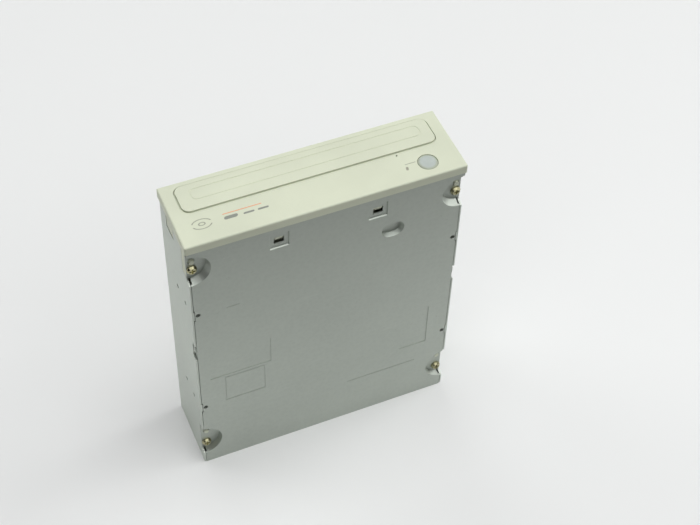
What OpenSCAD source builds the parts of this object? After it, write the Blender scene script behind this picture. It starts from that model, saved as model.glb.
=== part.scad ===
// Half-height 5.25 inch optical disc drive, standing on its rear panel with the bezel up.
// Millimetres. Sub-parts are drawn lying flat as in use: x to the right seen from the bezel,
// y back from the bezel's front face, z up from the outside of the bottom cover.
// stand() then turns the drive upright, so that in the finished part +Z points out of the
// bezel, +Y points to the drive's top cover and the origin is the middle of the rear face.

/* [Case] */
// Width over the steel sides
case_w = 146; // [145.8:0.1:146.2]
// Height from bottom cover to top cover
case_h = 41.3; // [41.2:0.1:41.5]
// Depth from the bezel's front face to the rear panel
drive_d = 184; // [184:0.5:186]
// Thickness of the steel sheet
sheet = 0.8; // [0.7:0.05:0.85]

/* [Bezel] */
// Width of the bezel
bezel_w = 148; // [147.5:0.1:148.5]
// Height of the bezel
bezel_h = 42; // [41.6:0.1:42.4]
// Depth of the bezel's rim
bezel_rim = 5.2; // [5:0.1:5.2]
// Radius of the bezel's front edges
bezel_round = 0.9; // [0.5:0.1:1]
// Thickness of the bezel's face
bezel_face = 2.2; // [2:0.1:2.3]

/* [Tray door] */
// Width of the tray door
door_w = 133.6; // [133.4:0.1:133.8]
// Height of the tray door
door_h = 17.2; // [17:0.1:17.3]
// Height of the tray door's middle above the bottom cover
door_z = 29.4; // [29.3:0.1:29.5]
// Corner radius of the tray door
door_r = 4; // [3.5:0.1:4.2]
// Gap between the tray door and the bezel
door_gap = 0.7; // [0.6:0.1:0.9]
// How far the tray door stands out of the bezel
door_proud = 0.6; // [0:0.1:0.7]

/* [Eject button] */
// Diameter of the button
button_d = 10.2; // [9:0.1:10.2]
// Distance of the button right of the middle
button_x = 56.2; // [55.5:0.1:56.5]
// Height of the button above the bottom cover
button_z = 9.15; // [9:0.05:9.3]

/* [Mounting holes] */
// Radius of the M3 mounting holes
mount_r = 1.25; // [1.25:0.05:1.5]
// First pair of holes behind the bezel's front face
mount_y = 52.6; // [52.4:0.1:52.8]
// Spacing of the holes along the depth
mount_pitch = 79.24; // [79.2:0.01:79.3]
// Height of the lower side holes
mount_low = 10; // [9.9:0.1:10.1]
// Height of the upper side holes
mount_high = 21.84; // [21.8:0.01:21.9]
// Distance of the bottom holes from the middle
mount_x = 69.85; // [69.8:0.01:69.9]

/* [Disc and tray] */
// Distance of the spindle behind the bezel's front face
disc_y = 78; // [77.8:0.1:78.2]
// Diameter of the tray's disc recess
recess_d = 121.6; // [121:0.1:122]
// Half width of the slot that clears the turntable
slot_r = 17; // [16.5:0.1:17.5]
// Travel of the tray
tray_travel = 130; // [120:1:132]

/* [Loading gears] */
// Module of the rack and its pinion
rack_module = 1; // [1:1:1]
// Teeth on the pinion that drives the rack
rack_pinion_teeth = 14; // [14:1:14]
// Module of the reduction gears
gear_module = 0.8; // [0.8:0.1:0.8]
// Teeth on the drive gear's wheel
wheel_teeth = 34; // [34:1:34]
// Teeth on the pulley gear's pinion
pulley_pinion_teeth = 12; // [12:1:12]
// Groove radius of the large pulley
pulley_r = 11.5; // [11:0.1:11.8]
// Groove radius of the motor pulley
motor_pulley_r = 4; // [3.5:0.1:4.2]

/* [Pickup unit] */
// Angle through which the pickup unit drops
drop_angle = 4.2; // [4:0.1:4.3]
// Travel of the cam slider for the full drop
cam_travel = 14; // [13.5:0.1:14.5]
// Distance of the lens from the spindle when parked
lens_park = 24; // [23.8:0.1:24.4]
// Pitch of the sled lead screw
screw_pitch = 3; // [3:1:3]

/* [Hidden] */
$fn = 48;
eps = 0.01;

half_w = case_w / 2;
// Underside of the top cover's sheet
roof_z = case_h - sheet;
// Outer edge of the bottom cover's plate
plate_x = half_w - sheet - 0.3;
mount_ys = [mount_y, mount_y + mount_pitch];
mount_zs = [mount_low, mount_high];

// Corner pockets of the bottom cover, open to the side:
// [middle x, middle y, rim radius, floor radius, screw x, screw y, locating peg x, locating peg y]
pockets = [
    [71.8, 18.3, 10.5, 8.6, 70.25, 20.4, 70.2, 14.8],
    [73.6, 163.8, 11.6, 11, 70.25, 169.2, 70, 158.9]
];
pocket_deep = 3.6;
// where the pocket's wall ends, short of the side sheet, and how far its floor reaches
wall_x = 71.2;
floor_x = half_w - 0.05;
peg_r = 1.3;
peg_hole = 1.75;
peg_tip = 1.1;
head_r = 2.65;
head_h = 1.8;

// Side cut-aways beside the rear pockets: from and to, and the end's slant
rear_cut = [151.4, 175.8];
cut_slant = 1.2;

// The bezel's arms, which fill the front cut-aways of the side sheets above the pocket floors:
// their end, and their heights; front_cut is the cut-away's end at the bottom cover
arm_end = 26;
arm_z = [4.5, 9.2];
front_cut = 28.9;

// Oval dimple pressed in the bottom cover: middle, half length of its straight part,
// radii at its rim and at its floor, depth, and the sheet's thickness where the pressing thins it
oval_at = [34.9, 32];
oval_half = 1.2;
oval_r = [5.0, 3.9];
oval_deep = 2.4;
oval_sheet = 0.5;

// Shallow pressed panels of the bottom cover: [middle x, middle y, width, length]
panels = [[-49, 99, 34, 20], [52, 121.5, 16, 31]];
panel_deep = 0.3;
// Scored outline and scored lines, in the same form
scores = [[-47, 121, 22, 20]];
score_lines = [[33.5, 151.5, 41, 0.45], [-51.5, 53, 7, 0.45]];
score_w = 0.45;
score_deep = 0.2;

// Sunk square round each bottom clip window, and how far its walls lean in
pad_half = 5.1;
pad_deep = 0.7;
pad_lean = 0.35;

// Windows in the covers for the bezel's snap clips
bottom_clip_x = 26.2;
top_clip_x = 40;
clip_y = [12.4, 16.6];
clip_half = 2.6;
nub_half = 1.9;
side_clip_y = [7, 17.4];
side_clip_z = [21.5, 32];

// How far the sleeve round the tray opening reaches past the door
sleeve = door_gap + 1.3;

// Step in the tray door's edge, and the groove pressed into its face
door_step = 0.7;
door_lip = 0.45;
door_t = 2.6;
groove_w = 0.7;
groove_deep = 0.2;

// The button's rounded edge, its guide gap and the lip behind the gap
button_round = 0.9;
button_gap = 0.2;
button_lip = 0.12;
button_proud = 0.2;

led_x = 44.8;
led_z = 8.65;
pinhole_x = 43.5;
pinhole_z = 18.65;

// Heights of the tray
tray_low = 22.5;
rack_deep = 2;
tray_rim = 29.9;
recess_z = 25.7;
tray_back = 160;
tray_half = 64.5;

// Loading gear places
rack_x = -58;
drive_at = [rack_x + rack_module * rack_pinion_teeth / 2, 26];
mesh_angle = 10;
mesh_gap = gear_module * (wheel_teeth + pulley_pinion_teeth) / 2;
pulley_at = drive_at + mesh_gap * [cos(mesh_angle), sin(mesh_angle)];
motor_at = [-4, 32];
belt_t = 1.2;
belt_z = 16.4;
axle_r = 1.5;

// Pickup unit
hinge_y = 162;
hinge_z = 14.75;
cam_pin_y = 52;
cam_pin_z = 18.2;
cam_pin_r = 1.4;
cam_pins_x = [-18, 18];
cam_drop = (hinge_y - cam_pin_y) * sin(drop_angle);
rail_x = 20;
rail_z = 14.2;
rail_r = 1.5;
screw_x = 26;
screw_z = 12.1;
journal_r = 0.7;
lens_y = disc_y + lens_park;
dampers = [[-33.8, 67.5], [33.8, 67.5], [-33.8, 150], [33.8, 150]];
deck_z = [16.2, 17.4];
window_y = [95, 149];

// Rear connectors: [middle x, width, bottom z, height]
power_at = [-54.5, 22, 5.6, 11];
data_at = [-8, 58.4, 3.9, 9.2];
jumper_at = [30, 8.4, 3.9, 5.6];
audio_at = [45, 11, 3.9, 6.6];
digital_at = [55, 5.8, 3.9, 6.6];
port_gap = 0.4;
pin_step = 2.54;
pin_side = 0.64;
board_top = 3.8;

// ---- helpers ----

// Turns the flat drive to stand on its rear face, on the origin
module stand() translate([0, -case_h / 2, drive_d]) rotate([-90, 0, 0]) children();

// Interval of the given half width around a middle
function around(middle, half) = [middle - half, middle + half];
function polar(r, a) = [r * cos(a), r * sin(a)];

module block(x, y, z) translate([x[0], y[0], z[0]]) cube([x[1] - x[0], y[1] - y[0], z[1] - z[0]]);

// Cylinder along z, along y and along x
module post(at, z, r) translate([at[0], at[1], z[0]]) cylinder(r = r, h = z[1] - z[0]);
module rod_y(x, z, y, r) translate([x, y[0], z]) rotate([-90, 0, 0]) cylinder(r = r, h = y[1] - y[0]);
module rod_x(y, z, x, r) translate([x[0], y, z]) rotate([0, 90, 0]) cylinder(r = r, h = x[1] - x[0]);

module ring(at, z, r_out, r_in) difference() {
    post(at, z, r_out);
    post(at, [z[0] - 1, z[1] + 1], r_in);
}

module both_sides() {
    children();
    mirror([1, 0, 0]) children();
}

// Rectangle with round corners in x and z, drawn out along y
module slab_y(x, z, w, h, r, y) {
    block([x - w / 2 + r, x + w / 2 - r], y, [z - h / 2, z + h / 2]);
    block([x - w / 2, x + w / 2], y, [z - h / 2 + r, z + h / 2 - r]);
    for (sx = [-1, 1], sz = [-1, 1])
        rod_y(x + sx * (w / 2 - r), z + sz * (h / 2 - r), y, r);
}

// Pan head screw pointing up, with a cross recess; at is its place, z the underside of its head
module pan_screw(at, z, head_r, head_h, shank_r, shank_h) translate([at[0], at[1], z]) {
    difference() {
        union() {
            translate([0, 0, -head_h * 0.45]) cylinder(r = head_r, h = head_h * 0.45);
            translate([0, 0, -head_h]) cylinder(r1 = head_r * 0.72, r2 = head_r, h = head_h * 0.55 + eps);
        }
        for (turn = [0, 90]) rotate(turn)
            translate([-head_r * 0.62, -head_r * 0.16, -head_h - eps])
                cube([head_r * 1.24, head_r * 0.32, head_h * 0.6]);
    }
    translate([0, 0, -eps]) cylinder(r = shank_r, h = shank_h);
}

// Involute spur gear profile with its first tooth on the x axis.
// tall and deep are the addendum and dedendum in modules; thin is taken off each tooth's width.
pressure = 20;
function involute(a) = tan(a) * 180 / PI - a;
module gear_2d(m, n, tall, deep, thin) {
    r = m * n / 2;
    base = r * cos(pressure);
    root = r - m * deep;
    tip = r + m * tall;
    low = max(base, root);
    steps = 4;
    lean = 90 / n - thin / 2 / r * 180 / PI + involute(pressure);
    // radius and half angle of the tooth at each step from its root to its tip
    flank = [for (i = [0:steps]) let (q = low + (tip - low) * i / steps)
        [q, lean - involute(acos(base / q))]];
    polygon([for (k = [0:n - 1]) let (turn = 360 * k / n)
        each concat(
            [polar(root, turn - flank[0][1])],
            [for (i = [0:steps]) polar(flank[i][0], turn - flank[i][1])],
            [for (i = [steps:-1:0]) polar(flank[i][0], turn + flank[i][1])],
            [polar(root, turn + flank[0][1])]
        )]);
}

// Oval cone whose middle stretch is straight along x; it narrows from r[0] at z[0] to r[1] at z[1]
module oval_cone(at, half, r, z) translate([at[0], at[1], z[0]]) {
    for (s = [-1, 1]) translate([s * half, 0, 0]) cylinder(r1 = r[0], r2 = r[1], h = z[1] - z[0]);
    rotate([90, 0, 90]) translate([0, 0, -half]) linear_extrude(2 * half)
        polygon([[-r[0], 0], [r[0], 0], [r[1], z[1] - z[0]], [-r[1], z[1] - z[0]]]);
}

// ---- steel covers ----

// Side cut-away beside the front pocket and for the bezel's arm; gap widens it
module front_side_cut(gap) translate([half_w - 1, 0, 0]) rotate([90, 0, 90]) linear_extrude(2) polygon([
    [0, -1],
    [front_cut + gap, -1],
    [front_cut + gap, 0],
    [front_cut - cut_slant + gap, pocket_deep],
    [arm_end + gap, arm_z[0]],
    [arm_end + gap, arm_z[1] + gap],
    [0, arm_z[1] + gap]
]);

// Side cut-away beside the rear pocket, just above the pocket's floor
module rear_side_cut() translate([half_w - 1, 0, 0]) rotate([90, 0, 90]) linear_extrude(2) polygon([
    [rear_cut[0], -1],
    [rear_cut[1], -1],
    [rear_cut[1], 0],
    [rear_cut[1] - cut_slant, arm_z[0]],
    [rear_cut[0], arm_z[0]]
]);

module top_cover() color("silver") stand() difference() {
    union() {
        difference() {
            block([-half_w, half_w], [bezel_rim + 2.3, drive_d], [0, case_h]);
            block([-half_w + sheet, half_w - sheet], [0, drive_d - sheet], [-1, roof_z]);
        }
        // the pressed panel that holds the label
        block([-53, 53], [41, 149], [roof_z - 0.4, roof_z + 0.1]);
        // collars behind the side mounting holes
        both_sides() for (y = mount_ys, z = mount_zs)
            rod_x(y, z, [half_w - sheet - 1.2, half_w - sheet + 0.1], 2.5);
        // tabs that meet the bottom cover beside its mounting holes
        both_sides() for (y = mount_ys) block([plate_x - 0.2, half_w - 0.1], around(y, 3.1), [0, sheet]);
    }
    block([-52, 52], [42, 148], [case_h - 0.4, case_h + 1]);
    both_sides() {
        for (y = mount_ys, z = mount_zs) rod_x(y, z, [half_w - 4, half_w + 1], mount_r);
        // cut-aways at the corner pockets, the latch and the bezel's clip
        front_side_cut(0.15);
        rear_side_cut();
        block([half_w - 2, half_w + 1], [77, 88], [-1, 3.6]);
        block([half_w - 2, half_w + 1], side_clip_y, side_clip_z);
        block([top_clip_x - clip_half, top_clip_x + clip_half], clip_y, [roof_z - 1, case_h + 1]);
    }
    // rear panel: clear of the bottom cover, with the connector openings
    block([-half_w - 1, half_w + 1], [drive_d - sheet - eps, drive_d + 1], [-1, sheet + 0.1]);
    for (c = [power_at, data_at, jumper_at, audio_at, digital_at])
        block(
            around(c[0], c[1] / 2 + port_gap),
            [drive_d - 2, drive_d + 1],
            [c[2] - port_gap, c[2] + c[3] + port_gap]);
    for (k = [0:9]) block([-40 + 9 * k, -35 + 9 * k], [drive_d - 2, drive_d + 1], [24, 26]);
}

// Pocket's hollow, widened by grow, between z0 and the pocket's floor
module pocket_cone(p, grow, z0) intersection() {
    translate([p[0], p[1], z0]) cylinder(
        r1 = p[2] + grow - z0 * (p[2] - p[3]) / pocket_deep,
        r2 = p[3] + grow,
        h = pocket_deep - z0);
    block([50, grow > 0 ? wall_x : half_w + 1], around(p[1], 15), [-2, 9]);
}

// Pocket's floor, with the tongue that reaches out to the side
module pocket_floor(p) {
    intersection() {
        post([p[0], p[1]], [pocket_deep - eps, pocket_deep + sheet], p[3] + sheet);
        block([50, wall_x], around(p[1], 15), [0, 9]);
    }
    block([wall_x - 1, floor_x], around(p[1], p[3] - 0.5), [pocket_deep, pocket_deep + sheet]);
}

// Thin flat-bottomed press mark in the underside: p is [middle x, middle y, width, length]
module press(p, grow, deep) block(around(p[0], p[2] / 2 + grow), around(p[1], p[3] / 2 + grow), [-1, deep]);

// Square pressed round a clip window, narrower inside
module pad(grow) {
    half = pad_half + grow;
    translate([bottom_clip_x, (clip_y[0] + clip_y[1]) / 2, 0]) rotate(45)
        cylinder(r1 = half * sqrt(2), r2 = (half - pad_lean) * sqrt(2), h = pad_deep + grow, $fn = 4);
}

module bottom_cover() color("silver") stand() difference() {
    union() {
        block([-plate_x, plate_x], [bezel_rim + 0.3, drive_d], [0, sheet]);
        block([-floor_x, floor_x], [bezel_rim + 0.3, bezel_rim + 2.2], [0, sheet]);
        both_sides() {
            for (p = pockets) {
                pocket_cone(p, sheet, 0);
                pocket_floor(p);
            }
            for (y = mount_ys) post([mount_x, y], [0, 2], 2);
            // upturned edges between the pockets and the mounting holes
            for (y = [[30.5, 48], [57, 127], [136.5, 151.5]]) block([plate_x - sheet, plate_x], y, [0, 5]);
            // latch in the cut-away of the top cover's side
            block([plate_x - 0.1, half_w - 0.3], [79.5, 83.5], [1, 3]);
            pad(0.5);
        }
        oval_cone(oval_at, oval_half, [for (r = oval_r) r + oval_sheet], [0, oval_deep + oval_sheet]);
    }
    both_sides() {
        for (p = pockets) {
            pocket_cone(p, 0, 0);
            translate([p[0], p[1], -1]) cylinder(r = p[2], h = 1 + eps);
            post([p[4], p[5]], [0, 9], 1.7);
            post([p[6], p[7]], [0, 9], peg_hole);
        }
        for (y = mount_ys) {
            post([mount_x, y], [-1, 4], mount_r);
            block([plate_x - 0.5, plate_x + 1], around(y, 4.1), [-1, sheet + eps]);
        }
        pad(0);
        block([bottom_clip_x - clip_half, bottom_clip_x + clip_half], clip_y, [-1, 2]);
    }
    oval_cone(oval_at, oval_half, oval_r, [0, oval_deep]);
    oval_cone(oval_at, oval_half, [oval_r[0], oval_r[0]], [-1, eps]);
    for (p = panels) press(p, 0, panel_deep);
    for (p = scores) difference() {
        press(p, score_w / 2, score_deep);
        press(p, -score_w / 2, 1);
    }
    for (p = score_lines) press(p, 0, score_deep);
}

module cover_screws() color("darkkhaki") stand() both_sides() for (p = pockets)
    pan_screw([p[4], p[5]], pocket_deep, head_r, head_h, 1.25, 6.5);

module rating_label() color("white") stand() block([-49, 49], [46, 144], [case_h - 0.4, case_h - 0.3]);

// ---- bezel ----

// Keeps what lies within round front edges, for a bezel w wide and h high
module round_front(w, h, r) intersection() {
    children();
    union() {
        block([-w / 2, w / 2], [r, 30], [-10, 60]);
        block([-w / 2 + r, w / 2 - r], [0, 30], [-10, 60]);
        for (s = [-1, 1]) post([s * (w / 2 - r), r], [-10, 60], r);
    }
    union() {
        block([-w, w], [r, 30], [case_h / 2 - h / 2, case_h / 2 + h / 2]);
        block([-w, w], [0, 30], [case_h / 2 - h / 2 + r, case_h / 2 + h / 2 - r]);
        for (s = [-1, 1]) rod_x(r, case_h / 2 + s * (h / 2 - r), [-w, w], r);
    }
}

module front_bezel() color("beige") stand() difference() {
    union() {
        difference() {
            round_front(bezel_w, bezel_h, bezel_round)
                slab_y(0, case_h / 2, bezel_w, bezel_h, 1, [0, bezel_rim]);
            slab_y(0, case_h / 2, bezel_w - 4, bezel_h - 3.4, 0.6, [bezel_face, bezel_rim + 1]);
        }
        // sleeve round the tray opening, and the button's guide
        slab_y(0, door_z, door_w + 2 * sleeve, door_h + 2 * sleeve, door_r + 1.6, [1, bezel_rim]);
        rod_y(button_x, button_z, [1, 6.4], 7.4);
        both_sides() {
            // side skirt and its arm, side clip, bottom clip and top clip
            intersection() {
                block([half_w - 0.76, half_w - 0.04], [bezel_rim, 40], [arm_z[0], 20]);
                front_side_cut(-0.1);
            }
            block([half_w - 1.8, half_w - 0.1], [bezel_rim - 1, bezel_rim + 2.1], [1.1, case_h - 1]);
            block([half_w - 2, half_w - 0.1], [bezel_rim - 1, 16.5], [22.3, 31.2]);
            block([bottom_clip_x - 3.4, bottom_clip_x + 3.4], [1, 14.2], [1.5, 2.9]);
            block([bottom_clip_x - nub_half, bottom_clip_x + nub_half], [12.6, 14.2], [1.1, 1.6]);
            block([top_clip_x - 3.4, top_clip_x + 3.4], [1, 18.4], [roof_z - 1.5, roof_z - 0.1]);
            block([top_clip_x - 2.4, top_clip_x + 2.4], [12.7, 14.4], [roof_z - 0.5, case_h - 0.15]);
        }
    }
    slab_y(0, door_z, door_w + 2 * door_gap, door_h + 2 * door_gap, door_r + door_gap, [-1, 8]);
    rod_y(button_x, button_z, [-1, 8], button_d / 2 + button_gap);
    rod_y(button_x, button_z, [bezel_face, 8], button_d / 2 + 0.98);
    rod_y(pinhole_x, pinhole_z, [-1, 8], 0.55);
    translate([led_x, 0, led_z]) rotate([0, 15, 0]) slab_y(0, 0, 1.3, 2.3, 0.4, [-1, 8]);
}

// Half section of the button's cap: its face, its rounded edge and the flange behind
module button_2d() {
    r = button_d / 2;
    square([r - button_round, button_proud + 3.4]);
    square([r, button_proud + 3.4 - button_round]);
    translate([r - button_round, button_proud + 3.4 - button_round]) circle(r = button_round);
    square([r + button_lip, 2.7]);
    square([r + 0.9, 0.8]);
}

module eject_button() color("gainsboro") stand() {
    translate([button_x, 3.4, button_z]) rotate([90, 0, 0]) rotate_extrude() intersection() {
        button_2d();
        square(20);
    }
    rod_y(button_x, button_z, [3.4 - eps, 9], 1.6);
}

module light_pipe() color("dimgray") stand() {
    translate([led_x, 0, led_z]) rotate([0, 15, 0]) slab_y(0, 0, 1.2, 2.2, 0.35, [0.1, 6.6]);
}

// ---- tray ----

// The door's edge is stepped, so that the gap round it has a floor
module tray_door() color("beige") stand() {
    difference() {
        union() {
            slab_y(0, door_z, door_w, door_h, door_r, [-door_proud, door_step + eps]);
            slab_y(0, door_z, door_w + 2 * door_lip, door_h + 2 * door_lip, door_r + door_lip,
                [door_step, door_t]);
        }
        difference() {
            slab_y(0.4, door_z + 1.1, 121.8, 7.8, 3, [-1, groove_deep - door_proud]);
            slab_y(0.4, door_z + 1.1, 121.8 - 2 * groove_w, 7.8 - 2 * groove_w, 3 - groove_w, [-2, 1]);
        }
    }
    for (x = [-45, 0, 45]) block([x - 6, x + 6], [2.6 - eps, 5], [24, 35]);
}

module rack_teeth() {
    m = rack_module;
    pitch = PI * m;
    slope = tan(pressure);
    half = pitch / 4 - 0.05;
    first = ceil((14 - drive_at[1]) / pitch - 0.5);
    last = floor((tray_back - 2 - drive_at[1]) / pitch - 0.5);
    for (k = [first:last]) translate([rack_x, drive_at[1] + (k + 0.5) * pitch, 0]) polygon([
        [-1.3 * m, -half - 1.3 * m * slope], [0.8 * m, -half + 0.8 * m * slope],
        [0.8 * m, half - 0.8 * m * slope], [-1.3 * m, half + 1.3 * m * slope]
    ]);
}

module disc_tray() color([0.16, 0.16, 0.17]) stand() {
    difference() {
        union() {
            block([-tray_half, tray_half], [5, tray_back], [tray_low, tray_rim]);
            block([-66.5, 66.5], [10, tray_back], [tray_low, 24.3]);
            block([-62, 62], [5, 8], [tray_low, 36.6]);
        }
        post([0, disc_y], [recess_z, 40], recess_d / 2);
        post([0, disc_y], [recess_z - 1.2, 40], 40.6);
        post([0, disc_y], [0, 40], slot_r);
        block([-slot_r, slot_r], [disc_y, tray_back + 1], [0, 40]);
        both_sides() {
            post([62, 52], [recess_z - 0.8, 40], 12);
            block([26, 61], [143, tray_back - 2], [recess_z, 40]);
            block([26, 56], [143, tray_back - 2], [0, recess_z - 1.6]);
        }
    }
    translate([0, 0, tray_low - rack_deep]) linear_extrude(rack_deep + eps) rack_teeth();
    block([-62.3, rack_x - 1.2 * rack_module], [12, tray_back - 1], [tray_low - rack_deep, tray_low + eps]);
}

// ---- frame ----

module main_frame() color([0.72, 0.72, 0.66]) stand() difference() {
    union() {
        both_sides() {
            block([67.8, 70.8], [9.3, 177.5], [5.5, 33.5]);
            // guide ribs above and below the tray's edge
            block([65.2, 68], [14, 176], [20, 22.3]);
            block([65.2, 68], [14, 176], [24.6, 26.6]);
            for (p = pockets) intersection() {
                post([p[4], p[5]], [pocket_deep + sheet + 0.05, 14], 3.8);
                block([60, half_w - sheet - 0.2], [0, drive_d], [0, 20]);
            }
            for (p = pockets) {
                block([67.8, half_w - sheet - 0.2], [p[7] - 2, p[5]], [pocket_deep + sheet + 0.05, 8.5]);
                post([p[6], p[7]], [pocket_deep - peg_tip, 6], peg_r);
            }
            for (y = [70, 86]) post([67.6, y], [26.5, 33.5], 2.4);
            // bearing blocks of the lift frame, on beams from the sides
            block([38.6, 45], [hinge_y - 4, hinge_y + 4], [6, 18.5]);
            block([44, 68], [hinge_y - 4, hinge_y - 1], [8, 12]);
            // feet that the main board is screwed to
            block([51, 68], [100, 108], [6, 9]);
            post([55, 104], [board_top, 9], 3);
        }
        block([-68, 36], [9.3, 11.3], [5.5, 19.5]);
        block([35, 68], [9.3, 11.3], [13.5, 19.5]);
        block([-68, 12], [11, 48], [9.3, 11.3]);
        block([11, 68], [11, 48], [13.5, 15]);
        block([-68, 68], [47.3, 49.7], [5.9, 18.5]);
        block([-68, 68], [47.3, 55.5], [5.9, 7.7]);
        block([-68, 68], [175.5, 177.5], [18, 31]);
        // stalks that hold the front board
        for (at = [[37.8, 20], [58, 24]]) post(at, [4.4, 14], 1.4);
        for (at = [drive_at, pulley_at]) post(at, [6, 11.9], 3.6);
        post(motor_at, [5.9, 11.3], 14.4);
    }
    for (at = [drive_at, pulley_at]) post(at, [5, 13], axle_r + 0.02);
    post(motor_at, [0, 13], 12.3);
    rod_y(pinhole_x, pinhole_z, [8, 50], 1.2);
    both_sides() {
        for (p = pockets) post([p[4], p[5]], [4, 12.2], 1.27);
        for (y = [70, 86]) post([67.6, y], [28, 34], 1.02);
        for (y = mount_ys, z = mount_zs) rod_x(y, z, [62, 75], 2.2);
        rod_x(hinge_y, hinge_z, [38, 46], 2.05);
        post([55, 104], [0, 8], 1.02);
    }
}

module clamp_bridge() color("lightgray") stand() difference() {
    union() {
        block([-70, 70], [64, 92], [33.5, 34.5]);
        for (y = [64, 91]) block([-60, 60], [y, y + 1], [34, 37.5]);
    }
    post([0, disc_y], [30, 40], 11);
    both_sides() for (y = [70, 86]) post([67.6, y], [30, 40], 1.3);
    both_sides() block([24, 52], [72, 84], [30, 40]);
}

module bridge_screws() color("silver") stand() both_sides() for (y = [70, 86])
    translate([0, 0, 68]) mirror([0, 0, 1]) pan_screw([67.6, y], 33.5, 2, 1.3, 1, 6);

module clamper() color([0.2, 0.2, 0.21]) stand() difference() {
    union() {
        post([0, disc_y], [30.2, 33], 13.5);
        post([0, disc_y], [33 - eps, 35], 10.6);
    }
    translate([0, disc_y, 30.2 - eps]) cylinder(r1 = 8.2, r2 = 7, h = 1.2);
    post([0, disc_y], [32.6, 36], 9.05);
}

module clamper_cap() color([0.2, 0.2, 0.21]) stand() {
    post([0, disc_y], [35, 36.3], 12.6);
    post([0, disc_y], [36.3 - eps, 37], 4);
}

module clamp_magnet() color("dimgray") stand() ring([0, disc_y], [32.6, 34.8], 9, 3.5);

// ---- loading drive ----

module loading_motor() color("silver") stand() difference() {
    union() {
        post(motor_at, [3, 15.2], 12.2);
        post(motor_at, [15.2 - eps, 15.7], 3);
    }
    post(motor_at, [11, 16], 0.8);
}

module motor_shaft() color("gainsboro") stand() post(motor_at, [11.5, 19.6], 0.75);

module pulley_2d(r) {
    lip = belt_t + 0.5;
    polygon([
        [0, -0.6], [r + lip, -0.6], [r + lip, 0], [r, 0.3],
        [r, 2.1], [r + lip, 2.4], [r + lip, 3], [0, 3]
    ]);
}

module motor_pulley() color("whitesmoke") stand() difference() {
    translate([motor_at[0], motor_at[1], belt_z]) rotate_extrude() pulley_2d(motor_pulley_r);
    post(motor_at, [10, 25], 0.75);
}

// Outline that wraps both pulleys, standing out from their grooves
module belt_loop(out) hull() {
    translate(motor_at) circle(r = motor_pulley_r + out, $fn = 40);
    translate(pulley_at) circle(r = pulley_r + out, $fn = 64);
}

module drive_belt() color([0.1, 0.1, 0.1]) stand()
    translate([0, 0, belt_z + 0.6]) linear_extrude(belt_t) difference() {
        belt_loop(belt_t);
        belt_loop(0.06);
    }

module pulley_gear() color("whitesmoke") stand() difference() {
    union() {
        translate([pulley_at[0], pulley_at[1], belt_z]) rotate_extrude() pulley_2d(pulley_r);
        translate([pulley_at[0], pulley_at[1], 12]) rotate(mesh_angle + 180 + 180 / pulley_pinion_teeth)
            linear_extrude(belt_z - 12.5) gear_2d(gear_module, pulley_pinion_teeth, 0.9, 1.15, 0.1);
    }
    post(pulley_at, [5, 25], axle_r + 0.06);
}

module drive_gear() color("whitesmoke") stand() difference() {
    translate([drive_at[0], drive_at[1], 0]) {
        translate([0, 0, 12]) rotate(mesh_angle) linear_extrude(3)
            gear_2d(gear_module, wheel_teeth, 0.8, 1.15, 0.1);
        translate([0, 0, 15 - eps]) cylinder(r = 4, h = tray_low - rack_deep - 15.1);
        translate([0, 0, tray_low - rack_deep - 0.2]) rotate(180)
            linear_extrude(rack_deep - 0.1) gear_2d(rack_module, rack_pinion_teeth, 0.9, 1.15, 0.1);
    }
    post(drive_at, [5, 25], axle_r + 0.06);
}

module gear_pins() color("silver") stand() {
    post(drive_at, [6.5, tray_low - 0.2], axle_r);
    post(pulley_at, [6.5, 20.4], axle_r);
}

// ---- cam slider and lift frame ----

// Slot for one cam pin: level with the pin at rest, and lower towards -x
module cam_slot(x) {
    r = cam_pin_r + 0.35;
    span = norm([cam_travel, cam_drop]);
    slope = atan(cam_drop / cam_travel);
    rod_y(x, cam_pin_z, [49, 56], r);
    rod_y(x - cam_travel, cam_pin_z - cam_drop, [49, 56], r);
    translate([x, 0, cam_pin_z]) rotate([0, -slope, 0]) block([-span, 0], [49, 56], [-r, r]);
}

module cam_slider() color("whitesmoke") stand() difference() {
    block([-38, 26], [50, 54], [7.9, 21.4]);
    for (x = cam_pins_x) cam_slot(x);
}

module lift_frame() color([0.2, 0.2, 0.21]) stand() {
    difference() {
        union() {
            block([-37, 37], [57, 166], [11.5, 14]);
            block([-37, 37], [57, 59.5], [11.5, 20.5]);
            both_sides() block([33.5, 37], [158, 166], [11.5, 17.5]);
            for (d = dampers) post(d, [9.5, 14], 3.6);
        }
        block([-31.5, 31.5], [62, 156], [0, 30]);
        for (d = dampers) post(d, [9, 15], 1.02);
    }
    for (x = cam_pins_x) rod_y(x, cam_pin_z, [50.4, 57 + eps], cam_pin_r);
    both_sides() rod_x(hinge_y, hinge_z, [37 - eps, 43], 2);
}

module damper_grommets() color([0.25, 0.25, 0.27]) stand() for (d = dampers)
    translate([d[0], d[1], 14]) rotate_extrude() polygon([
        [1.55, 0], [4, 0], [4, 2.2], [2.65, 2.2], [2.65, 3.4], [4, 3.4], [4, 4.6], [1.55, 4.6]
    ]);

module damper_screws() color("silver") stand() for (d = dampers) {
    post(d, [14, 18.7], 1.5);
    post(d, [18.6, 20], 3);
    post(d, [10.5, 14 + eps], 1);
}

module traverse_plate() color("lightsteelblue") stand() difference() {
    union() {
        block([-30.5, 30.5], [62.5, 155], deck_z);
        for (d = dampers) post(d, deck_z, 5.4);
    }
    block([-23, 23], window_y, [10, 20]);
    post([0, disc_y], [10, 20], 6.1);
    for (d = dampers) post(d, [10, 20], 2.68);
    both_sides() block([24.5, 28.5], [100, 138], [10, 20]);
}

// ---- spindle ----

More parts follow.
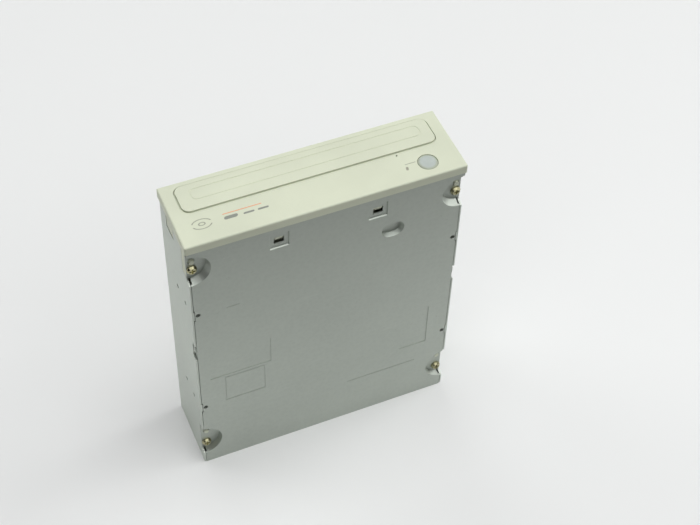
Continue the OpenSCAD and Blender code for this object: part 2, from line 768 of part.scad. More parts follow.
module spindle_motor() color("silver") stand() difference() {
    union() {
        block([-14, 14], [66, 91], [14.8, deck_z[0]]);
        post([0, disc_y], [deck_z[0] - eps, 22.4], 4.5);
    }
    post([0, disc_y], [15.6, 30], 1.3);
}

module stator_coils() color("peru") stand() ring([0, disc_y], [18.4, 22], 11.4, 4.5);

module spindle_rotor() color("gainsboro") stand() {
    difference() {
        post([0, disc_y], [18, 24], 13.2);
        post([0, disc_y], [17, 22.9], 12.3);
    }
    post([0, disc_y], [16, 29.2], 1.25);
}

module turntable() color([0.18, 0.18, 0.19]) stand() difference() {
    union() {
        post([0, disc_y], [24, 26.9], 14.5);
        post([0, disc_y], [26.9 - eps, 28.4], 7.45);
        translate([0, disc_y, 28.4 - eps]) cylinder(r1 = 7.45, r2 = 5.4, h = 1.1);
    }
    post([0, disc_y], [20, 32], 1.25);
}

module turntable_pad() color([0.1, 0.1, 0.1]) stand() ring([0, disc_y], [26.9, 27.4], 14.2, 11.2);

// ---- pickup sled ----

module guide_rails() color("silver") stand() both_sides() rod_y(rail_x, rail_z, [91.5, 152.5], rail_r);

module rail_holders() color([0.2, 0.2, 0.21]) stand() {
    both_sides() for (y = [91, 151]) difference() {
        block([rail_x - 2.6, rail_x + 2.6], [y, y + 2], [12, deck_z[0]]);
        rod_y(rail_x, rail_z, [y - 1, y + 3], rail_r + 0.01);
    }
    // far bearing of the lead screw
    difference() {
        block([screw_x - 2, screw_x + 2], [151, 153], [10, deck_z[0]]);
        rod_y(screw_x, screw_z, [150, 154], journal_r + 0.05);
    }
}

module sled_motor() color("silver") stand() difference() {
    union() {
        rod_y(screw_x, screw_z, [70, 89.7], 4);
        block([screw_x - 4, screw_x + 4], [86, 88], [screw_z, deck_z[0]]);
    }
    rod_y(screw_x, screw_z, [82, 91], journal_r + 0.05);
}

// Shaft with one rounded helical thread: an off-centre circle that winds along the axis
module lead_screw() color("gainsboro") stand() {
    turns = 60 / screw_pitch;
    translate([screw_x, 90, screw_z]) rotate([-90, 0, 0])
        linear_extrude(turns * screw_pitch, twist = -360 * turns, slices = 5 * turns, $fn = 10)
            translate([0.4, 0]) circle(r = 1.2);
    rod_y(screw_x, screw_z, [149.9, 152.8], journal_r);
    rod_y(screw_x, screw_z, [83, 90.1], journal_r);
}

module pickup_body() color("silver") stand() difference() {
    union() {
        block([-12, 12], [lens_y - 6.5, lens_y + 12.5], [11.5, 19.6]);
        // sleeve on the main rail, and the fork on the second one
        block([-22.6, -11], [lens_y - 5, lens_y + 11], [12, 16]);
        block([11, 22.4], [lens_y - 3, lens_y + 4], [12.3, 16]);
        // saddle over the lead screw
        block([21, 28], [lens_y - 3, lens_y + 4], [14.4, 16]);
    }
    rod_y(-rail_x, rail_z, [lens_y - 20, lens_y + 20], rail_r + 0.04);
    rod_y(rail_x, rail_z, [lens_y - 20, lens_y + 20], rail_r + 0.06);
    block([rail_x, 30], [lens_y - 20, lens_y + 20], [8, rail_z]);
    post([0, lens_y], [17.5, 22], 8.2);
}

module pickup_ribbon() color("wheat") stand() {
    block([-8, 8], [lens_y + 2, lens_y + 20], [11.1, 11.3]);
    block([-10, 10], [lens_y + 1, lens_y + 5], [11, 11.5]);
}

module lens_holder() color([0.12, 0.12, 0.13]) stand() difference() {
    union() {
        block([-5, 5], [lens_y - 5, lens_y + 5], [18.4, 23.4]);
        post([0, lens_y], [23.4 - eps, 24.2], 4);
    }
    post([0, lens_y], [22.6, 25], 2.55);
}

module objective_lens() color("lightcyan") stand() {
    post([0, lens_y], [22.6, 24], 2.5);
    intersection() {
        translate([0, lens_y, 24.6 - 3.7]) sphere(r = 3.7);
        post([0, lens_y], [24 - eps, 25], 2.5);
    }
}

// ---- electronics ----

module main_board() color("darkgreen") stand() difference() {
    block([-58, 58], [94, 182.8], [2.2, board_top]);
    both_sides() post([55, 104], [0, 5], 1.3);
}

// [x, y, width, depth]
chips = [
    [-16, 126, 28, 28], [24, 118, 20, 20], [-42, 116, 12, 18],
    [12, 146, 18, 10], [-42, 146, 12, 18], [40, 142, 8, 10]
];
module board_chips() color([0.12, 0.12, 0.12]) stand() for (c = chips)
    block(around(c[0], c[2] / 2), around(c[1], c[3] / 2), [board_top, board_top + 1.5]);

module board_capacitors() color("slategray") stand() for (x = [28, 36, 44])
    post([x, 171], [board_top, board_top + 7.5], 3.1);

module board_screws() color("silver") stand() both_sides() pan_screw([55, 104], 2.2, 2, 1.2, 1, 5);

module connector_shell(c, y, wall, deep) difference() {
    block(around(c[0], c[1] / 2), [y, drive_d - 0.2], [c[2], c[2] + c[3]]);
    block(around(c[0], c[1] / 2 - wall), [drive_d - deep, drive_d + 1], [c[2] + wall, c[2] + c[3] - wall]);
}

module data_connector() color([0.12, 0.12, 0.13]) stand() difference() {
    connector_shell(data_at, 174, 1.2, 8);
    // polarising slot in the upper wall
    block(around(data_at[0], 2.2), [drive_d - 6, drive_d + 1], around(data_at[2] + data_at[3], 2));
}

module power_connector() color("ivory") stand() connector_shell(power_at, 167, 1.4, 12);

module jumper_block() color([0.12, 0.12, 0.13]) stand() block(
    [jumper_at[0] - jumper_at[1] / 2, jumper_at[0] + jumper_at[1] / 2], [176, 178.5],
    [jumper_at[2], jumper_at[2] + jumper_at[3]]);

module audio_connectors() color("ivory") stand() {
    connector_shell(audio_at, 175, 0.8, 6.5);
    connector_shell(digital_at, 175, 0.8, 6.5);
}

// Rows of square pins in the middle of connector c, n wide and rows high, from y[0] to y[1]
module pins(c, n, rows, side, y, step) for (i = [0:n - 1], j = [0:rows - 1])
    block(
        around(c[0] + (i - (n - 1) / 2) * step, side / 2), y,
        around(c[2] + c[3] / 2 + (j - (rows - 1) / 2) * step, side / 2));

module connector_pins() color("goldenrod") stand() {
    pins(data_at, 20, 2, pin_side, [drive_d - 8, drive_d - 2], pin_step);
    pins(jumper_at, 3, 2, pin_side, [178.5, drive_d - 0.6], pin_step);
    pins(audio_at, 4, 1, pin_side, [drive_d - 6.5, drive_d - 1.4], 2.2);
    pins(digital_at, 2, 1, pin_side, [drive_d - 6.5, drive_d - 1.4], 2);
    for (i = [0:3]) rod_y(
        power_at[0] + (i - 1.5) * 2 * pin_step, power_at[2] + power_at[3] / 2,
        [drive_d - 12, drive_d - 2.5], 1.05);
}

module front_board() color("darkgreen") stand() block([36, 60], [9.8, 28], [3, 4.4]);

module front_ribbon() color("whitesmoke") stand() {
    block([40, 52], [24, 98], [5, 5.15]);
    block([40, 52], [24, 27], [4.4, 5.05]);
    block([40, 52], [95, 98], [board_top, 5.05]);
}

module eject_switch() color([0.15, 0.15, 0.16]) stand() difference() {
    block([button_x - 3, button_x + 3], [10.2, 14.2], [4.4, 12.2]);
    rod_y(button_x, button_z, [9, 12], 1.25);
}

module switch_plunger() color("whitesmoke") stand() rod_y(button_x, button_z, [9, 10.8], 1.2);

module status_led() color("palegreen") stand() {
    rod_y(led_x, led_z, [6.8, 11], 1.5);
    for (x = [-0.7, 0.7]) block([led_x + x - 0.25, led_x + x + 0.25], [10.4, 10.9], [4.4, led_z]);
}

top_cover();
bottom_cover();
cover_screws();
rating_label();
front_bezel();
eject_button();
light_pipe();
tray_door();
disc_tray();
main_frame();
clamp_bridge();
bridge_screws();
clamper();
clamper_cap();
clamp_magnet();
loading_motor();
motor_shaft();
motor_pulley();
drive_belt();
pulley_gear();
drive_gear();
gear_pins();
cam_slider();
lift_frame();
damper_grommets();
damper_screws();
traverse_plate();
spindle_motor();
stator_coils();
spindle_rotor();
turntable();
turntable_pad();
guide_rails();
rail_holders();
sled_motor();
lead_screw();
pickup_body();
pickup_ribbon();
lens_holder();
objective_lens();
main_board();
board_chips();
board_capacitors();
board_screws();
data_connector();
power_connector();
jumper_block();
audio_connectors();
connector_pins();
front_board();
front_ribbon();
eject_switch();
switch_plunger();
status_led();
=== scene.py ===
"""Looks for the half-height optical disc drive: materials, printed marks, edge rounding, light and camera."""

import math

import bmesh
import bpy
from mathutils import Matrix, Vector


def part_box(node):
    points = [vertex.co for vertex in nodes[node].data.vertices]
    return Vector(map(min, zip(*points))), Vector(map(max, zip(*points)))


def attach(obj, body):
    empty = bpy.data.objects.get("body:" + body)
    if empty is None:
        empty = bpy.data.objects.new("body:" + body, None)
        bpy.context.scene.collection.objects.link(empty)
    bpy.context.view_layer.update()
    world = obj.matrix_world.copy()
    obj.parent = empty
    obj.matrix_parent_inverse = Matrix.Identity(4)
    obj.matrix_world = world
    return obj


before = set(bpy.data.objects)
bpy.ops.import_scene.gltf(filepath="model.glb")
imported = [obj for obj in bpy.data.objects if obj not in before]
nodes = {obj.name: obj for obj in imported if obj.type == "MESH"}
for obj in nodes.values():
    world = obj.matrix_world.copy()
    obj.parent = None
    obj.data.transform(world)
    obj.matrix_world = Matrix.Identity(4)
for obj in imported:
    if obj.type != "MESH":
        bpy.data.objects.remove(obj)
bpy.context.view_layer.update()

MM = 0.001


# ---------------------------------------------------------------- node graphs

class Graph:
    """A material's node tree, with short calls for the nodes used here."""

    def __init__(self, name):
        self.material = bpy.data.materials.new(name)
        self.material.use_nodes = True
        self.tree = self.material.node_tree
        self.shader = self.tree.nodes["Principled BSDF"]
        self.place = self.add("ShaderNodeTexCoord").outputs["Object"]

    def add(self, kind, **settings):
        node = self.tree.nodes.new(kind)
        for key, value in settings.items():
            setattr(node, key, value)
        return node

    def put(self, socket, value):
        """Links a socket to a value or to another socket."""
        if isinstance(value, bpy.types.NodeSocket):
            self.tree.links.new(value, socket)
        else:
            socket.default_value = value
        return self

    def math(self, operation, a, b=0.0):
        node = self.add("ShaderNodeMath", operation=operation)
        self.put(node.inputs[0], a)
        self.put(node.inputs[1], b)
        return node.outputs[0]

    def mapped(self, scale):
        node = self.add("ShaderNodeMapping")
        self.put(node.inputs["Vector"], self.place)
        node.inputs["Scale"].default_value = scale
        return node.outputs[0]

    def noise(self, scale, detail=3.0, stretch=(1, 1, 1)):
        node = self.add("ShaderNodeTexNoise")
        self.put(node.inputs["Vector"], self.mapped(stretch))
        node.inputs["Scale"].default_value = scale
        node.inputs["Detail"].default_value = detail
        return node.outputs["Fac"]

    def cells(self, scale, stretch=(1, 1, 1), feature="F1", output="Distance"):
        node = self.add("ShaderNodeTexVoronoi", feature=feature)
        self.put(node.inputs["Vector"], self.mapped(stretch))
        node.inputs["Scale"].default_value = scale
        return node.outputs[output]

    def span(self, value, low, high, to_low=0.0, to_high=1.0):
        """Value from low..high mapped to to_low..to_high, held at the ends."""
        node = self.add("ShaderNodeMapRange", clamp=True)
        for index, item in enumerate((value, low, high, to_low, to_high)):
            self.put(node.inputs[index], item)
        return node.outputs[0]

    def mix(self, factor, a, b):
        node = self.add("ShaderNodeMix", data_type="RGBA")
        self.put(node.inputs["Factor"], factor)
        self.put(node.inputs[6], a if isinstance(a, bpy.types.NodeSocket) else (*a, 1))
        self.put(node.inputs[7], b if isinstance(b, bpy.types.NodeSocket) else (*b, 1))
        return node.outputs[2]

    def bump(self, height, distance, strength):
        node = self.add("ShaderNodeBump")
        self.put(node.inputs["Height"], height)
        node.inputs["Distance"].default_value = distance
        node.inputs["Strength"].default_value = strength
        return node.outputs[0]

    def edges(self, radius):
        """1 near a sharp edge, 0 on a flat."""
        soft = self.add("ShaderNodeBevel", samples=4)
        soft.inputs["Radius"].default_value = radius
        flat = self.add("ShaderNodeNewGeometry").outputs["Normal"]
        dot = self.add("ShaderNodeVectorMath", operation="DOT_PRODUCT")
        self.put(dot.inputs[0], soft.outputs[0])
        self.put(dot.inputs[1], flat)
        return self.span(dot.outputs["Value"], 0.995, 0.80)

    def finish(self, color, rough, metallic=0.0, normal=None, **inputs):
        self.put(self.shader.inputs["Base Color"], color)
        self.put(self.shader.inputs["Roughness"], rough)
        self.put(self.shader.inputs["Metallic"], metallic)
        if normal is not None:
            self.put(self.shader.inputs["Normal"], normal)
        for key, value in inputs.items():
            self.put(self.shader.inputs[key.replace("_", " ")], value)
        return self.material


def tint(color, gain):
    return tuple(min(1.0, c * gain) for c in color)


def plastic(name, color, rough=0.5, grain=2600, grain_depth=0.012, dust=0.0):
    """Moulded plastic: spark-eroded grain, slow colour drift, paler worn edges."""
    g = Graph(name)
    drift = g.span(g.noise(26, 4), 0.3, 0.7)
    body = g.mix(drift, tint(color, 0.95), tint(color, 1.04))
    specks = g.span(g.noise(900, 2), 0.62, 0.8)
    body = g.mix(g.math("MULTIPLY", specks, 0.25), body, tint(color, 0.86))
    wear = g.math("MULTIPLY", g.edges(0.3 * MM), g.span(g.noise(340, 3), 0.35, 0.7))
    body = g.mix(g.math("MULTIPLY", wear, 0.35), body, tuple(0.5 * c + 0.42 for c in color))
    if dust:
        body = g.mix(g.math("MULTIPLY", g.span(g.noise(120, 5), 0.45, 0.75), dust), body, (0.5, 0.49, 0.46))
    shine = g.span(g.noise(60, 4), 0.25, 0.75, rough - 0.06, rough + 0.08)
    fine = g.bump(g.noise(grain, 2), grain_depth * MM, 0.6)
    return g.finish(body, shine, normal=fine)


def metal(name, color, rough=0.35, metallic=1.0, lines=(1, 1, 1), depth=0.004):
    """Turned or drawn metal: fine tool lines, patchy shine and brighter edges, which are a painted highlight.
    """
    g = Graph(name)
    patch = g.span(g.noise(70, 4), 0.3, 0.7)
    body = g.mix(patch, tint(color, 0.85), tint(color, 1.05))
    # Painted highlight: the colour is lightened near sharp edges.
    body = g.mix(g.math("MULTIPLY", g.edges(0.15 * MM), 0.5), body, tint(color, 1.35))
    tool = g.noise(1500, 2, lines)
    shine = g.span(g.math("ADD", g.math("MULTIPLY", tool, 0.6), g.math("MULTIPLY", patch, 0.4)),
                   0.3, 0.7, rough - 0.08, rough + 0.1)
    return g.finish(body, shine, metallic, normal=g.bump(tool, depth * MM, 0.5))


# ---------------------------------------------------------------- materials

IVORY = (0.645, 0.68, 0.535)
STEEL = (0.455, 0.49, 0.445)


def sheet_steel(name, color):
    """Zinc-coated sheet: cloudy spangle, fine specks, faint rolling lines and small scuffs, with a painted
    highlight along the edges.
    """
    g = Graph(name)
    cloud = g.span(g.noise(14, 5), 0.3, 0.7)
    spangle = g.span(g.cells(420), 0.0, 0.75)
    specks = g.noise(1600, 3)
    rolled = g.noise(900, 3, (0.03, 1, 1))
    tone = g.math("ADD", g.math("MULTIPLY", cloud, 0.40), g.math("MULTIPLY", spangle, 0.2))
    tone = g.math("ADD", tone, g.math("MULTIPLY", specks, 0.32))
    tone = g.math("ADD", tone, g.math("MULTIPLY", rolled, 0.08))
    body = g.mix(g.span(tone, 0.25, 0.75), tint(color, 0.90), tint(color, 1.08))
    scuff = g.span(g.noise(260, 2, (0.08, 1, 0.8)), 0.68, 0.74)
    body = g.mix(g.math("MULTIPLY", scuff, 0.08), body, tint(color, 1.4))
    spots = g.span(g.noise(330, 2), 0.74, 0.78)
    body = g.mix(g.math("MULTIPLY", spots, 0.3), body, tint(color, 0.6))
    # Painted highlight: the colour is lightened a little near sharp edges.
    body = g.mix(g.math("MULTIPLY", g.edges(0.15 * MM), 0.12), body, tint(color, 1.4))
    height = g.math("ADD", g.math("MULTIPLY", rolled, 0.15), g.math("MULTIPLY", g.noise(2400, 2), 0.85))
    shine = g.span(tone, 0.2, 0.8, 0.40, 0.54)
    return g.finish(body, shine, 0.75, normal=g.bump(height, 0.012 * MM, 0.5))


looks = {
    "steel_top": sheet_steel("steel_top", tint(STEEL, 1.18)),
    "steel_bottom": sheet_steel("steel_bottom", STEEL),
    "steel_plain": sheet_steel("steel_plain", tint(STEEL, 1.15)),
    "ivory": plastic("ivory", IVORY, 0.52),
    "pipe": plastic("pipe", (0.36, 0.36, 0.29), 0.3, grain_depth=0.003),
    "tray": plastic("tray", (0.020, 0.020, 0.022), 0.46, grain=3200, dust=0.03),
    "frame": plastic("frame", (0.60, 0.63, 0.50), 0.5, dust=0.03),
    "frame_black": plastic("frame_black", (0.014, 0.014, 0.015), 0.5, dust=0.04),
    "rotating_black": plastic("rotating_black", (0.02, 0.02, 0.022), 0.42),
    "acetal": plastic("acetal", (0.72, 0.72, 0.68), 0.38, grain_depth=0.004),
    "plug_black": plastic("plug_black", (0.018, 0.018, 0.02), 0.48),
    "plug_ivory": plastic("plug_ivory", (0.72, 0.66, 0.50), 0.45),
    "epoxy": plastic("epoxy", (0.022, 0.022, 0.023), 0.6),
    "belt": plastic("belt", (0.012, 0.012, 0.012), 0.75, grain=1500),
    "damper": plastic("damper", (0.03, 0.03, 0.032), 0.85, grain=1200),
    "ribbon_white": plastic("ribbon_white", (0.75, 0.75, 0.73), 0.4),
    "ribbon": plastic("ribbon", (0.52, 0.33, 0.12), 0.3, grain_depth=0.003),
    "led": plastic("led", (0.30, 0.55, 0.30), 0.15, grain_depth=0.002),
    "zinc_yellow": metal("zinc_yellow", (0.44, 0.42, 0.26), 0.26),
    "zinc_bright": metal("zinc_bright", (0.62, 0.62, 0.62), 0.3),
    "magnet": metal("magnet", (0.10, 0.10, 0.11), 0.6, 0.4),
    "motor_can": metal("motor_can", (0.55, 0.55, 0.54), 0.28),
    "ground_steel": metal("ground_steel", (0.66, 0.66, 0.67), 0.16),
    "copper": metal("copper", (0.60, 0.26, 0.10), 0.3, lines=(1, 8, 1)),
    "turned_aluminium": metal("turned_aluminium", (0.72, 0.72, 0.73), 0.22),
    "cast_alloy": metal("cast_alloy", (0.45, 0.45, 0.46), 0.5, depth=0.02),
    "can_sleeve": metal("can_sleeve", (0.12, 0.14, 0.20), 0.35, 0.3),
    "gold": metal("gold", (0.85, 0.62, 0.25), 0.22),
}


def board_material():
    """Solder mask over copper: tracks, pads and a faint colour drift in the mask."""
    g = Graph("board")
    tracks = g.span(g.cells(330, (1, 1, 0.35), "DISTANCE_TO_EDGE"), 0.04, 0.07, 1.0, 0.0)
    pads = g.span(g.cells(300), 0.10, 0.13, 1.0, 0.0)
    body = g.mix(g.span(g.noise(50, 3), 0.3, 0.7), (0.006, 0.07, 0.025), (0.01, 0.10, 0.035))
    body = g.mix(g.math("MULTIPLY", tracks, 0.6), body, (0.03, 0.20, 0.07))
    body = g.mix(pads, body, (0.60, 0.60, 0.56))
    raised = g.math("ADD", tracks, pads)
    return g.finish(body, g.span(pads, 0, 1, 0.35, 0.25), g.math("MULTIPLY", pads, 0.8),
                    normal=g.bump(raised, 0.03 * MM, 0.5))


def label_material():
    """Matt label stock with plain grey panels and rules, no lettering."""
    g = Graph("label")
    split = g.add("ShaderNodeSeparateXYZ")
    g.put(split.inputs[0], g.place)
    x, z = split.outputs[0], split.outputs[2]

    def panel(x0, x1, z0, z1):
        inside = g.math("MULTIPLY", g.math("GREATER_THAN", x, x0 * MM), g.math("LESS_THAN", x, x1 * MM))
        inside = g.math("MULTIPLY", inside, g.math("GREATER_THAN", z, z0 * MM))
        return g.math("MULTIPLY", inside, g.math("LESS_THAN", z, z1 * MM))

    body = g.mix(g.noise(90, 4), (0.72, 0.72, 0.69), (0.80, 0.80, 0.77))
    ink = (0.10, 0.11, 0.12)
    rules = 0.0
    for z0 in (58, 66, 74, 82):
        rules = g.math("MAXIMUM", rules, panel(-42, 8, z0, z0 + 0.5))
    for x0, z0, wide, tall in ((-42, 118, 40, 12), (4, 118, 38, 12), (16, 56, 26, 27)):
        rules = g.math("MAXIMUM", rules, g.math("SUBTRACT", panel(x0, x0 + wide, z0, z0 + tall),
                                                panel(x0 + 0.6, x0 + wide - 0.6, z0 + 0.6, z0 + tall - 0.6)))
    body = g.mix(g.math("MULTIPLY", rules, 0.75), body, ink)
    band = panel(-42, 42, 96, 108)
    body = g.mix(g.math("MULTIPLY", band, 0.5), body, (0.20, 0.24, 0.30))
    return g.finish(body, 0.6, normal=g.bump(g.noise(2000, 3), 0.006 * MM, 0.4))


def glass_material():
    g = Graph("lens_glass")
    body = g.mix(g.noise(400, 2), (0.75, 0.85, 0.92), (0.85, 0.80, 0.95))
    return g.finish(body, 0.05, normal=g.bump(g.noise(500, 2), 0.0005 * MM, 0.2),
                    Transmission_Weight=0.9, IOR=1.5, Coat_Weight=0.4)


def button_material():
    """Milky plastic: paler in the middle of the cap, with painted shade darkening it towards the rim."""
    g = Graph("button")
    low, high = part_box("eject_button")
    split = g.add("ShaderNodeSeparateXYZ")
    g.put(split.inputs[0], g.place)
    dx = g.math("SUBTRACT", split.outputs[0], (low.x + high.x) / 2)
    dy = g.math("SUBTRACT", split.outputs[1], (low.y + high.y) / 2)
    radius = g.math("SQRT", g.math("ADD", g.math("MULTIPLY", dx, dx), g.math("MULTIPLY", dy, dy)))
    rim_shade_and_slope = g.span(radius, 3.6 * MM, 4.6 * MM)
    drift = g.span(g.noise(300, 3), 0.3, 0.7)
    middle = g.mix(drift, (0.46, 0.51, 0.48), (0.51, 0.56, 0.53))
    # Painted shade: the cap's colour darkens towards its rim; the same mask also slopes the rim in the bump.
    body = g.mix(rim_shade_and_slope, middle, (0.40, 0.44, 0.35))
    normal = g.bump(g.math("ADD", g.math("MULTIPLY", rim_shade_and_slope, -1.0), g.noise(900, 2)), 0.12 * MM, 0.5)
    return g.finish(body, g.span(drift, 0, 1, 0.28, 0.36), normal=normal, Subsurface_Weight=0.3,
                    Subsurface_Radius=(0.002, 0.002, 0.002), Subsurface_Scale=1.0)


looks["button"] = button_material()
looks["board"] = board_material()
looks["label"] = label_material()
looks["lens"] = glass_material()

node_looks = {
    "top_cover": "steel_top", "bottom_cover": "steel_bottom", "cover_screws": "zinc_yellow",
    "rating_label": "label", "front_bezel": "ivory", "eject_button": "button", "light_pipe": "pipe",
    "tray_door": "ivory", "disc_tray": "tray", "main_frame": "frame", "clamp_bridge": "steel_plain",
    "bridge_screws": "zinc_bright", "clamper": "rotating_black", "clamper_cap": "rotating_black",
    "clamp_magnet": "magnet", "loading_motor": "motor_can", "motor_shaft": "ground_steel",
    "motor_pulley": "acetal", "drive_belt": "belt", "pulley_gear": "acetal", "drive_gear": "acetal",
    "gear_pins": "ground_steel", "cam_slider": "acetal", "lift_frame": "frame_black",
    "damper_grommets": "damper", "damper_screws": "zinc_bright", "traverse_plate": "steel_plain",
    "spindle_motor": "motor_can", "stator_coils": "copper", "spindle_rotor": "turned_aluminium",
    "turntable": "rotating_black", "turntable_pad": "belt", "guide_rails": "ground_steel",
    "rail_holders": "frame_black", "sled_motor": "motor_can", "lead_screw": "ground_steel",
    "pickup_body": "cast_alloy", "pickup_ribbon": "ribbon", "lens_holder": "rotating_black",
    "objective_lens": "lens", "main_board": "board", "board_chips": "epoxy",
    "board_capacitors": "can_sleeve", "board_screws": "zinc_bright", "data_connector": "plug_black",
    "power_connector": "plug_ivory", "jumper_block": "plug_black", "audio_connectors": "plug_ivory",
    "connector_pins": "gold", "front_board": "board", "front_ribbon": "ribbon_white",
    "eject_switch": "plug_black", "switch_plunger": "acetal", "status_led": "led",
}
for name, look in node_looks.items():
    mesh = nodes[name].data
    mesh.materials.clear()
    mesh.materials.append(looks[look])


# ---------------------------------------------------------------- edge rounding

def soften(name, width, segments=2, angle=30):
    """Rounds a CAD node's sharp edges with a modifier."""
    bevel = nodes[name].modifiers.new("edge_round", "BEVEL")
    bevel.width = width * MM
    bevel.segments = segments
    bevel.limit_method = "ANGLE"
    bevel.angle_limit = math.radians(angle)
    bevel.use_clamp_overlap = True
    bevel.harden_normals = True


soften("front_bezel", 0.15, 2)
soften("tray_door", 0.2, 2)
soften("disc_tray", 0.3)


# ---------------------------------------------------------------- printed marks on the bezel

FACE_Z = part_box("front_bezel")[1].z
MARK = 0.05 * MM


def printed(name, outlines, look):
    """A thin printed mark on the bezel's face, made of closed outlines in x and y, in millimetres."""
    mesh = bpy.data.meshes.new(name)
    bm = bmesh.new()
    for outline in outlines:
        base = [bm.verts.new((x * MM, y * MM, FACE_Z - MARK)) for x, y in outline]
        face = bm.faces.new(base)
        done = bmesh.ops.extrude_face_region(bm, geom=[face])
        top = [v for v in done["geom"] if isinstance(v, bmesh.types.BMVert)]
        bmesh.ops.translate(bm, vec=(0, 0, 2 * MARK), verts=top)
    bmesh.ops.recalc_face_normals(bm, faces=bm.faces)
    bm.to_mesh(mesh)
    bm.free()
    piece = bpy.data.objects.new(name, mesh)
    bpy.context.scene.collection.objects.link(piece)
    mesh.materials.append(look)
    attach(piece, "case")


def pill(cx, cy, length, height, lean=0.0, steps=8):
    """Outline of a bar with round ends, sheared by lean."""
    r = height / 2
    half = length / 2 - r
    points = []
    for side, start in ((1, -90), (-1, 90)):
        for i in range(steps + 1):
            a = math.radians(start + 180 * i / steps)
            x, y = side * half + r * math.cos(a), r * math.sin(a)
            points.append((cx + x + lean * y, cy + y))
    return points


def arc_band(cx, cy, r_in, r_out, start, end, steps=24, squash=1.0):
    """Outline of part of a ring; squash flattens it in y."""
    def arc(radius, first, last):
        turns = [math.radians(first + (last - first) * i / steps) for i in range(steps + 1)]
        return [(cx + radius * math.cos(a), cy + squash * radius * math.sin(a)) for a in turns]

    return arc(r_out, start, end) + arc(r_in, end, start)


grey_ink = plastic("grey_ink", (0.26, 0.28, 0.24), 0.5, grain_depth=0.003)
pale_ink = plastic("pale_ink", (0.33, 0.35, 0.27), 0.5, grain_depth=0.003)
orange_ink = plastic("orange_ink", (0.78, 0.34, 0.16), 0.5, grain_depth=0.003)

# A plain disc picture: two open rings
disc_x, disc_y = -61, -9
printed("mark_disc", [
    arc_band(disc_x, disc_y, 4.6, 5.3, 20, 160, squash=0.62),
    arc_band(disc_x, disc_y, 4.6, 5.3, 200, 340, squash=0.62),
    arc_band(disc_x, disc_y, 1.2, 1.9, 0, 179, squash=0.62),
    arc_band(disc_x, disc_y, 1.2, 1.9, 180, 359, squash=0.62),
], pale_ink)
# Plain bars in place of the printed words, with an orange stroke over them
printed("mark_bars", [
    pill(-46.5, -9.6, 7.0, 2.0, 0.25),
    pill(-37.5, -10.0, 5.6, 1.1, 0.25),
    pill(-30.2, -10.0, 5.6, 1.1, 0.25),
], grey_ink)
printed("mark_stroke", [pill(-40, -6.9, 20, 0.45, 0)], orange_ink)
printed("mark_eject_line", [pill(47.6, -9.2, 5.8, 0.35, 0)], pale_ink)


# ---------------------------------------------------------------- stage, light and camera

TABLE_END = -0.22
FLOOR_FADE = (0.7, 1.5)
BACKDROP = 0.82
BACKDROP_COLOR = (0.99, 1.0, 0.99)


def floor():
    size = 3.0
    mesh = bpy.data.meshes.new("floor")
    bm = bmesh.new()
    bmesh.ops.create_grid(bm, x_segments=1, y_segments=1, size=size)
    bm.to_mesh(mesh)
    bm.free()
    ground = bpy.data.objects.new("floor", mesh)
    bpy.context.scene.collection.objects.link(ground)
    g = Graph("floor")
    body = g.mix(g.noise(3, 3), (0.80, 0.81, 0.805), (0.82, 0.83, 0.825))
    # In front of the drive it gives back no light, as if a small table ended there; the camera sees it pale
    split = g.add("ShaderNodeSeparateXYZ")
    g.put(split.inputs[0], g.place)
    seen = g.add("ShaderNodeLightPath").outputs["Is Camera Ray"]
    beyond = g.math("LESS_THAN", split.outputs[1], TABLE_END)
    body = g.mix(g.math("MULTIPLY", beyond, g.math("SUBTRACT", 1.0, seen)), body, (0.015, 0.015, 0.015))
    # Far from the drive it fades into the backdrop
    reach = g.add("ShaderNodeVectorMath", operation="LENGTH")
    g.put(reach.inputs[0], g.place)
    far = g.math("MULTIPLY", seen, g.span(reach.outputs["Value"], *FLOOR_FADE))
    body = g.mix(far, body, (0, 0, 0))
    mesh.materials.append(g.finish(body, 0.7, normal=g.bump(g.noise(500, 3), 0.02 * MM, 0.3),
                                   Emission_Color=(*BACKDROP_COLOR, 1),
                                   Emission_Strength=g.math("MULTIPLY", far, BACKDROP)))


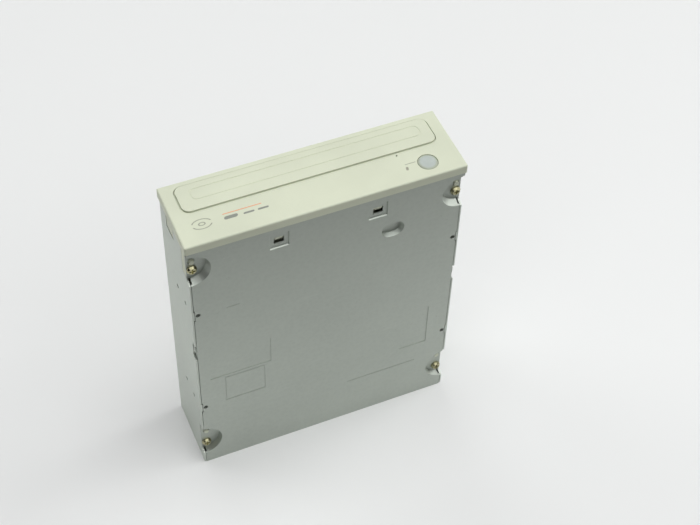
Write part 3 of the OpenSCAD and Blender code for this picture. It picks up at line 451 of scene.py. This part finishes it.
def softbox(up, turn, power):
    """A round soft lamp aimed at the drive; up and turn in degrees, turn 0 is right and 90 behind."""
    e, a = math.radians(up), math.radians(turn)
    place = LAMP_REACH * Vector((math.cos(e) * math.cos(a), math.cos(e) * math.sin(a), math.sin(e)))
    name = f"lamp_{up}_{turn}"
    data = bpy.data.lights.new(name, "AREA")
    data.shape = "DISK"
    data.size = LAMP_SIZE
    data.energy = power
    lamp = bpy.data.objects.new(name, data)
    lamp.location = place
    lamp.rotation_mode = "QUATERNION"
    lamp.rotation_quaternion = (LAMP_AIM - place).to_track_quat("-Z", "Y")
    bpy.context.scene.collection.objects.link(lamp)


def sky():
    """A pale backdrop where the camera looks past the floor, and almost no light from it."""
    world = bpy.data.worlds.new("studio")
    world.use_nodes = True
    tree = world.node_tree
    back = tree.nodes["Background"]
    path = tree.nodes.new("ShaderNodeLightPath")
    strength = tree.nodes.new("ShaderNodeMapRange")
    tree.links.new(path.outputs["Is Camera Ray"], strength.inputs[0])
    strength.inputs[3].default_value = 0.002
    strength.inputs[4].default_value = BACKDROP
    tree.links.new(strength.outputs[0], back.inputs["Strength"])
    back.inputs["Color"].default_value = (*BACKDROP_COLOR, 1)
    bpy.context.scene.world = world


AIM = Vector((0.0274, 0.0134, 0.092))
CAMERA_AZIMUTH = -24.68
CAMERA_ELEVATION = 49.83
CAMERA_ROLL = 2.19
CAMERA_DISTANCE = 0.8175
CAMERA_LENS = 76.96


def camera():
    data = bpy.data.cameras.new("camera")
    data.lens = CAMERA_LENS
    data.sensor_width = 36
    data.clip_start = 0.01
    eye = bpy.data.objects.new("camera", data)
    a, e = math.radians(CAMERA_AZIMUTH), math.radians(CAMERA_ELEVATION)
    back = Vector((math.sin(a) * math.cos(e), -math.cos(a) * math.cos(e), math.sin(e)))
    turn = (-back).to_track_quat("-Z", "Y").to_matrix() @ Matrix.Rotation(math.radians(CAMERA_ROLL), 3, "Z")
    eye.matrix_world = Matrix.Translation(AIM + back * CAMERA_DISTANCE) @ turn.to_4x4()
    bpy.context.scene.collection.objects.link(eye)
    bpy.context.scene.camera = eye


LAMP_REACH = 2.0
LAMP_SIZE = 1.2
LAMP_AIM = Vector((0, 0, 0.08))
OVERHEAD = 16
HIGH_RIGHT = 7
HIGH_LEFT = 5
LOW = 10

floor()
sky()
softbox(88, 0, OVERHEAD)
for turn in (0, 315):
    softbox(50, turn, HIGH_RIGHT)
for turn in (270, 225):
    softbox(50, turn, HIGH_LEFT)
# low lamps at the right and behind
for turn in (0, 90, 135):
    softbox(20, turn, LOW)
camera()
bpy.context.scene.view_settings.view_transform = "Standard"
